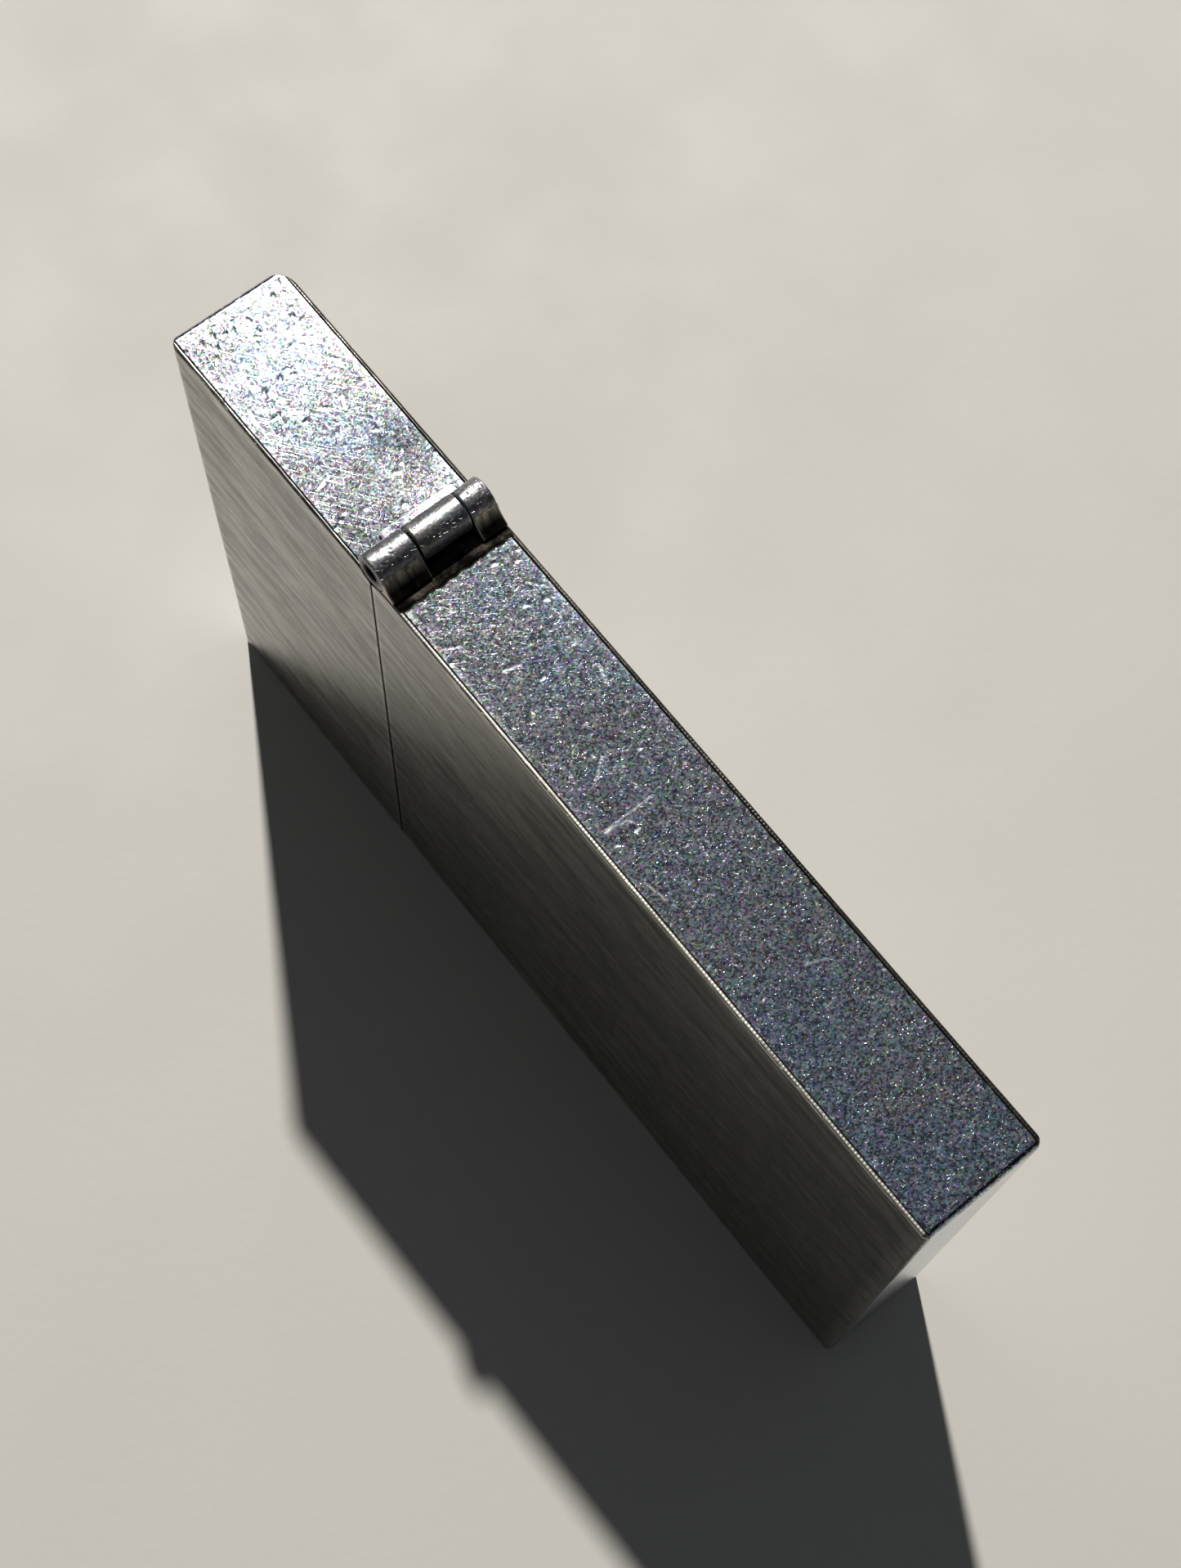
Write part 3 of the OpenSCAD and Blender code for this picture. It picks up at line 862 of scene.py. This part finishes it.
def sleeve(name, settings):
    """The mouth rim: a sleeve soldered in the body, stepped down and rounded where it enters the lid."""
    step_x, tip = Case.seam_x + Case.mouth, Case.rim_low[0]
    back, wall = Case.rim_high[0], RIM_WALL
    gap_y, gap_z = RIM_GAP
    inner_half_y = Case.inner_y - wall
    inner_half_z = Case.height / 2 - Case.band_t - wall
    full = (Case.inner_y, Case.height / 2 - Case.band_t)
    slim = (full[0] - gap_y, full[1] - gap_z)
    lip = 0.16
    stations = [(back, *full), (step_x + 0.05, *full), (step_x, full[0] - 0.02, full[1] - 0.03),
                (step_x, *slim)]
    stations += [(x, *slim) for x in spaced(step_x - 0.3, tip + lip, 0.4)]
    for turn in np.linspace(0.2, math.pi / 2, 5):
        fall = lip * (1 - math.cos(turn))
        stations.append((tip + lip * (1 - math.sin(turn)), slim[0] - fall, slim[1] - fall))
    stations += [(tip, inner_half_y + 0.1, inner_half_z + 0.16), (tip + 0.06, inner_half_y, inner_half_z)]
    stations += [(x, inner_half_y, inner_half_z) for x in spaced(tip + 0.5, back, 1.0)]
    rings, skins, grime_and_painted_shade = [], [], []
    for x, half_y, half_z in stations:
        ys = np.append(np.linspace(-1, 1, 13), np.linspace(-1, 1, 13)[::-1]) * half_y
        rise = np.linspace(-1, 1, 60)[1:-1] * half_z
        ring_y = np.concatenate([ys[:13], np.full(58, half_y), ys[13:], np.full(58, -half_y)])
        ring_z = np.concatenate([np.full(13, -half_z), rise, np.full(13, half_z), -rise])
        rings.append(np.stack([np.full(len(ring_y), x), ring_y, ring_z + Case.height / 2], 1))
        skins.append(np.stack([ring_z, np.full(len(ring_y), x) + ring_y * 0.3, ring_y * 5], 1))
        # Painted shade: the sleeve is dark where it shows through the seam gap and a little darker everywhere
        # else.
        grime_and_painted_shade.append(np.full(len(ring_y), 1.0 if abs(x - Case.seam_x) < 0.6 else 0.1))
    faces = ring_faces(len(rings), len(rings[0]), looped=True)
    return mesh_object(name, np.vstack(rings), faces, np.vstack(skins), pit=np.concatenate(grime_and_painted_shade))


def lathe(profile, turns):
    """Points of a (radius, y) profile turned about the hinge axis, one ring for each turn."""
    rings = []
    for t in turns:
        rings.append(np.stack([Case.seam_x + profile[:, 0] * math.cos(t), profile[:, 1],
                               Case.axis_z + profile[:, 0] * math.sin(t)], 1))
    return np.array(rings)


def knuckle(name, node, settings, seed):
    """One length of the barrel: tube with rolled lips, dented all round."""
    low, high = box_mm(node)
    bore = Case.pin_r + BORE_GAP
    random = np.random.default_rng(settings.seed + seed)
    lip, throat = 0.15, 0.07
    y0, y1, big = low[1], high[1], Case.barrel_r
    bend = np.linspace(0, math.pi / 2, 6)
    outer = [(big - lip + lip * math.sin(t), y0 + lip - lip * math.cos(t)) for t in bend]
    outer += [(big, y) for y in spaced(y0 + lip, y1 - lip, 0.1)[1:-1]]
    outer += [(r, y0 + y1 - y) for r, y in reversed(outer[:6])]
    hole = [(bore, y) for y in spaced(y1 - throat, y0 + throat, 0.5)]
    profile = np.array([(bore + throat, y0), *outer, (bore + throat, y1), *hole])
    turns = np.linspace(0, math.tau, 145)[:-1]
    rings = lathe(profile, turns)
    tt, yy = np.meshgrid(turns, profile[:, 1], indexing="ij")
    arc = tt * big
    depth = swells(arc, yy, 0.03, random, 2.0, 6.0)
    dings = []
    for _ in range(16):
        dings.append((random.uniform(0, math.tau * big), random.uniform(y0, y1), random.uniform(0, 180),
                      random.uniform(0.05, 0.5), random.uniform(0.12, 0.32), random.uniform(0.015, 0.06)))
    depth = depth + scored(arc, yy, dings)
    on_outside = np.repeat((profile[:, 0] > big - lip * 0.9)[None, :], len(turns), 0)
    inward = np.stack([-np.cos(tt), np.zeros_like(tt), -np.sin(tt)], -1)
    rings = rings + inward * (depth * on_outside)[..., None]
    skin = np.stack([arc, yy, np.full_like(arc, seed * 9.0)], -1).reshape(-1, 3)
    # Painted shade: the bore is darkened.
    in_hole = np.repeat((profile[:, 0] < bore + throat * 1.5)[None, :], len(turns), 0)
    faces = ring_faces(len(turns), len(profile), looped=True)
    return mesh_object(name, rings.reshape(-1, 3), faces, skin, outside=on_outside.ravel() * 1.0,
                       pit=(in_hole * 0.9).ravel())


def pin(name, settings):
    """Drawn wire pin with lightly hammered ends."""
    y0, y1, r = Case.pin_low[1], Case.pin_high[1], Case.pin_r
    head = [(0.12, 0.0), (0.3, 0.01), (0.46, 0.04), (0.58, 0.09), (0.67, 0.17), (r, 0.3)]
    stations = [(a, y0 + b) for a, b in head] + [(r, y) for y in spaced(y0 + 0.5, y1 - 0.5, 0.6)]
    stations += [(a, y1 - b) for a, b in reversed(head)]
    turns = np.linspace(0, math.tau, 49)[:-1]
    rings = []
    for radius, y in stations:
        flat = 1 - 0.04 * np.cos(3 * turns + y) * (radius < r)
        rings.append(np.stack([Case.seam_x + radius * flat * np.cos(turns), np.full(len(turns), y),
                               Case.axis_z + radius * flat * np.sin(turns)], 1))
    points = np.vstack(rings)
    skin = np.stack([points[:, 0] - Case.seam_x, points[:, 2], points[:, 1]], 1)
    return mesh_object(name, points, ring_faces(len(rings), len(turns), looped=False), skin, pit=0.3)


def wedge(name, node, settings, seed, notch):
    """Bead of solder that carries one of the body's knuckles, dressed hollow and nicked."""
    low, high = box_mm(node)
    random = np.random.default_rng(settings.seed + seed)
    rows = spaced(low[1], high[1], 0.09)
    leaf_z, radius = Case.leaf_t, Case.barrel_r
    rise = Case.axis_z - Case.height
    toe = high[0] - Case.seam_x
    steps = np.linspace(0, 1, 18)
    foot = math.sqrt(radius**2 - (rise - leaf_z)**2)
    start_turn, end_turn = math.atan2(leaf_z - rise, foot), math.radians(27.0)
    rings = []
    for y in rows:
        worn = 0.03 * random.uniform(0, 1) + 0.05 * math.sin(y * 2.1 + seed) ** 2
        end = min(y - rows[0], rows[-1] - y)
        rounding = float(rolled(end, 0.12))
        dip = notch[1] * math.exp(-((y - notch[0]) / 0.2) ** 2)
        head_u, head_z = radius * math.cos(end_turn), rise + radius * math.sin(end_turn)
        slope_u = toe + (head_u - toe) * steps
        slope_z = leaf_z + 0.25 + (head_z - leaf_z - 0.25) * steps
        sag = (0.1 + worn) * np.sin(math.pi * steps) + rounding * 0.7 + dip * steps**2
        slope_u = slope_u - 0.6 * sag - 0.06 * (1 - steps)
        slope_z = np.maximum(slope_z - 0.7 * sag, leaf_z + 0.02)
        beyond = np.hypot(slope_u, slope_z - rise)
        push = np.maximum(radius / beyond, 1.0)
        slope_u, slope_z = slope_u * push, rise + (slope_z - rise) * push
        rest = np.linspace(math.atan2(slope_z[-1] - rise, slope_u[-1]), start_turn, 10)[1:]
        u = np.concatenate([slope_u, radius * np.cos(rest), slope_u[:1]])
        z = np.concatenate([slope_z, rise + radius * np.sin(rest), [leaf_z]])
        rings.append(np.stack([Case.seam_x + u, np.full(len(u), y), Case.height + z], 1))
    points = np.vstack(rings)
    skin = np.stack([points[:, 0] + points[:, 2], points[:, 1], np.full(len(points), seed * 5.0)], 1)
    from_end = np.minimum(points[:, 1] - low[1], high[1] - points[:, 1])
    # Painted shade: the solder is darkened at its toe and round its back under the barrel, standing in for
    # the barrel's shadow; the head beside the knuckle and the very ends stay light.
    painted_shade_profile = np.append(np.clip(1.5 - 1.5 * steps, 0, 1), np.ones(len(rings[0]) - len(steps)))
    painted_shade = np.tile(painted_shade_profile, len(rings))
    return mesh_object(name, points, ring_faces(len(rings), len(rings[0]), looped=False), skin,
                       pit=np.clip(from_end / 0.15, 0, 1) * painted_shade)


def leaf(name, body, node, settings, seed, ragged, corner):
    """Thin hinge leaf on the narrow face, cut for the barrel, feathered at its outer line."""
    low, high = box_mm(node)
    side = SIDE[body]
    reach = max(abs(low[0] - Case.seam_x), abs(high[0] - Case.seam_x))
    random = np.random.default_rng(settings.seed + seed)
    rows = spaced(low[1], high[1], 0.09)
    rise, thick = Case.axis_z - Case.height, Case.leaf_t
    shares = np.linspace(0, 1, 26)
    waves = [(random.uniform(0.5, 4.0), random.uniform(0, math.tau)) for _ in range(9)]
    rings = []
    for y in rows:
        radius = float(seat_radius(body, np.array(y)))
        end = min(y - rows[0], rows[-1] - y)
        start_low = math.sqrt(radius**2 - rise**2)
        start_top = math.sqrt(radius**2 - (rise - thick)**2)
        wobble = sum(math.sin(math.tau * y / w + p) for w, p in waves) / 9
        line = reach - float(rolled(end, corner)) - ragged * (0.5 + 0.5 * math.tanh(1.6 * wobble))
        u = start_top + (line - start_top) * shares
        full = thick - 0.012 * (1 + math.sin(y * 3.1)) - float(rolled(end, 0.07))
        if ragged:
            left = 1 - rolled(line - u, 0.3) / 0.3
        else:
            left = 1 - (0.25 + 0.5 * max(y, 0.0) / high[1]) * shares**1.4
        us = np.concatenate([[start_low], u, [line]])
        zs = np.concatenate([[0.0], 0.03 + (full - 0.03) * left, [0.0]])
        rings.append(np.stack([Case.seam_x + side * us, np.full(len(us), y), Case.height + zs], 1))
    points = np.vstack(rings)
    skin = np.stack([points[:, 0], points[:, 1], np.full(len(points), seed * 5.0)], 1)
    # Painted shade: the body leaf is darkened all over, standing in for the barrel's shadow, except a lighter
    # thin line at its outer edge. The lid leaf is darkened under the start of the barrel and along a thin
    # line at its outer edge.
    edge = np.concatenate([[1.0], np.where(shares < 0.97, 1.0, 0.25), [0.25]])
    if not ragged:
        edge = np.concatenate([[1.0], np.where(shares < 0.99, 0.0, 0.9), [0.9]])
    return mesh_object(name, points, ring_faces(len(rings), len(rings[0]), looped=False), skin,
                       pit=np.tile(edge, len(rings)), glint=1.0)


# ---------------------------------------------------------------- operators

class CASE_OT_broad_plates(bpy.types.Operator):
    """Make the four broad plates of the body and the lid"""
    bl_idname = "card_case.broad_plates"
    bl_label = "Broad plates"

    def execute(self, context):
        settings, coat = context.scene.case_wear, metal("rubbed engine-turned silver")
        places = [(body, part, place) for body, part in ((BODY, "body"), (LID, "lid"))
                  for place in ("front", "back")]
        for seed, (body, part, place) in enumerate(places):
            node = f"{part}_{place}_plate"
            made = plate(f"{node}_skin", body, place == "front", settings)
            wear(made, coat, settings, 0.0, 1.0, 20 + seed)
            finish_piece(made, coat, body, "broad_plate", node)
        return {"FINISHED"}


class CASE_OT_edge_bands(bpy.types.Operator):
    """Make the two strips bent round the narrow edges"""
    bl_idname = "card_case.edge_bands"
    bl_label = "Edge bands"

    def execute(self, context):
        settings, coat = context.scene.case_wear, metal("worn polished silver")
        for seed, (body, node) in enumerate(((BODY, "body_edge_band"), (LID, "lid_edge_band"))):
            made = band(f"{node}_skin", body, settings)
            wear(made, coat, settings, 1.0, 1.0, 30 + seed)
            finish_piece(made, coat, body, "edge_band", node)
        return {"FINISHED"}


class CASE_OT_mouth_rim(bpy.types.Operator):
    """Make the sleeve in the body's mouth"""
    bl_idname = "card_case.mouth_rim"
    bl_label = "Mouth rim"

    def execute(self, context):
        made = sleeve("mouth_rim_skin", context.scene.case_wear)
        finish_piece(made, metal("satin rim silver"), BODY, "rim", "mouth_rim")
        return {"FINISHED"}


class CASE_OT_hinge_barrel(bpy.types.Operator):
    """Make the three knuckles of the hinge and their pin"""
    bl_idname = "card_case.hinge_barrel"
    bl_label = "Hinge barrel"

    def execute(self, context):
        settings, coat = context.scene.case_wear, metal("dinged barrel silver")
        for seed, (body, node) in enumerate((
                (BODY, "near_knuckle"), (LID, "middle_knuckle"), (BODY, "far_knuckle"))):
            made = knuckle(f"{node}_skin", node, settings, 50 + seed)
            wear(made, coat, settings, 0.4, 6.0, 60 + seed)
            finish_piece(made, coat, body, "knuckle", node)
        made = pin("hinge_pin_skin", settings)
        finish_piece(made, metal("dark pin wire"), BODY, "pin", "hinge_pin")
        return {"FINISHED"}


class CASE_OT_hinge_leaves(bpy.types.Operator):
    """Make the two thin hinge leaves and the solder behind the body's knuckles"""
    bl_idname = "card_case.hinge_leaves"
    bl_label = "Hinge leaves"

    def execute(self, context):
        settings, solder = context.scene.case_wear, metal("dull silver solder")
        for seed, node, notch in ((70, "near_bearer", (-3.3, 0.28)), (71, "far_bearer", (4.6, 0.12))):
            made = wedge(f"{node}_skin", node, settings, seed, notch)
            finish_piece(made, solder, BODY, "solder", node)
        made = leaf("body_hinge_leaf_skin", BODY, "body_hinge_leaf", settings, 80, 0.35, 0.1)
        finish_piece(made, solder, BODY, "solder", "body_hinge_leaf")
        made = leaf("lid_hinge_leaf_skin", LID, "lid_hinge_leaf", settings, 81, 0.0, 0.5)
        finish_piece(made, metal("worn polished silver"), LID, "edge_band", "lid_hinge_leaf")
        return {"FINISHED"}


class CASE_OT_stage(bpy.types.Operator):
    """Make the floor, the main light, the sky and the camera"""
    bl_idname = "card_case.stage"
    bl_label = "Stage"

    def execute(self, context):
        scene, stage = context.scene, context.scene.case_stage
        scene.view_settings.view_transform = "Standard"
        floor = bmesh.new()
        bmesh.ops.create_grid(floor, x_segments=8, y_segments=8, size=3.0)
        mesh = bpy.data.meshes.new("floor")
        floor.to_mesh(mesh)
        floor.free()
        mesh.materials.append(floor_paint("pale floor", tuple(stage.floor_color)))
        ground = bpy.data.objects.new("floor", mesh)
        scene.collection.objects.link(ground)

        key = bpy.data.lights.new("key", "AREA")
        key.shape, key.size = "DISK", stage.key_size
        key.energy = stage.key_power
        key.color = (1.0, 0.975, 0.93)
        bearing, height = stage.key_azimuth, stage.key_elevation
        towards = Vector((math.cos(bearing) * math.cos(height), math.sin(bearing) * math.cos(height),
                          math.sin(height)))
        lamp = bpy.data.objects.new("key", key)
        lamp.location = Vector((0, 0, Case.height / 2 * MM)) + towards * stage.key_distance
        lamp.rotation_euler = towards.to_track_quat("Z", "Y").to_euler()
        scene.collection.objects.link(lamp)

        world = bpy.data.worlds.new("soft sky")
        scene.world = world
        world.use_nodes = True
        nodes, links = world.node_tree.nodes, world.node_tree.links
        nodes.clear()
        output = nodes.new("ShaderNodeOutputWorld")
        light = nodes.new("ShaderNodeBackground")
        ramp = nodes.new("ShaderNodeValToRGB")
        split = nodes.new("ShaderNodeSeparateXYZ")
        coords = nodes.new("ShaderNodeTexCoord")
        links.new(coords.outputs["Generated"], split.inputs[0])
        links.new(split.outputs[2], ramp.inputs[0])
        links.new(ramp.outputs[0], light.inputs["Color"])
        links.new(light.outputs[0], output.inputs["Surface"])
        stops = ramp.color_ramp.elements
        dark, glow = (*stage.horizon_color, 1.0), (*stage.glow_color, 1.0)
        stops[0].position, stops[0].color = 0.10, glow
        stops[1].position, stops[1].color = 0.91, (*stage.zenith_color, 1.0)
        for share in (0.42, 0.82):
            stops.new(share).color = dark

        view = bpy.data.cameras.new("camera")
        view.lens, view.clip_start, view.clip_end = stage.lens, 0.01, 20.0
        camera = bpy.data.objects.new("camera", view)
        back = Vector((math.sin(stage.azimuth) * math.cos(stage.elevation),
                       -math.cos(stage.azimuth) * math.cos(stage.elevation), math.sin(stage.elevation)))
        level = Vector((0, 0, 1)).cross(back).normalized()
        upright = back.cross(level)
        right = level * math.cos(stage.roll) + upright * math.sin(stage.roll)
        turned = Matrix((right, back.cross(right), back)).transposed()
        camera.matrix_world = Matrix.Translation(Vector(stage.aim) + back * stage.distance) @ turned.to_4x4()
        scene.collection.objects.link(camera)
        scene.camera = camera
        return {"FINISHED"}


PIECES = (CASE_OT_broad_plates, CASE_OT_edge_bands, CASE_OT_mouth_rim, CASE_OT_hinge_barrel,
          CASE_OT_hinge_leaves)


class CASE_PT_panel(bpy.types.Panel):
    """Sidebar panel of the card case"""
    bl_idname = "CASE_PT_panel"
    bl_label = "Card Case"
    bl_space_type = "VIEW_3D"
    bl_region_type = "UI"
    bl_category = "Card Case"

    def draw(self, context):
        for operator in (*PIECES, CASE_OT_stage):
            self.layout.operator(operator.bl_idname)
        for group in GROUPS:
            settings = getattr(context.scene, group)
            column = self.layout.column(align=True)
            for name in settings.bl_rna.properties.keys():
                if name not in ("rna_type", "name"):
                    column.prop(settings, name)


CLASSES = (*GROUPS.values(), *PIECES, CASE_OT_stage, CASE_PT_panel)


def register():
    for made in CLASSES:
        bpy.utils.register_class(made)
    for name, group in GROUPS.items():
        setattr(bpy.types.Scene, name, PointerProperty(type=group))


def unregister():
    for name in GROUPS:
        delattr(bpy.types.Scene, name)
    for made in reversed(CLASSES):
        bpy.utils.unregister_class(made)


def main():
    """Registers the case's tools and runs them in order."""
    register()
    for operator in (*PIECES, CASE_OT_stage):
        group, name = operator.bl_idname.split(".")
        getattr(getattr(bpy.ops, group), name)()


if __name__ == "__main__":
    main()
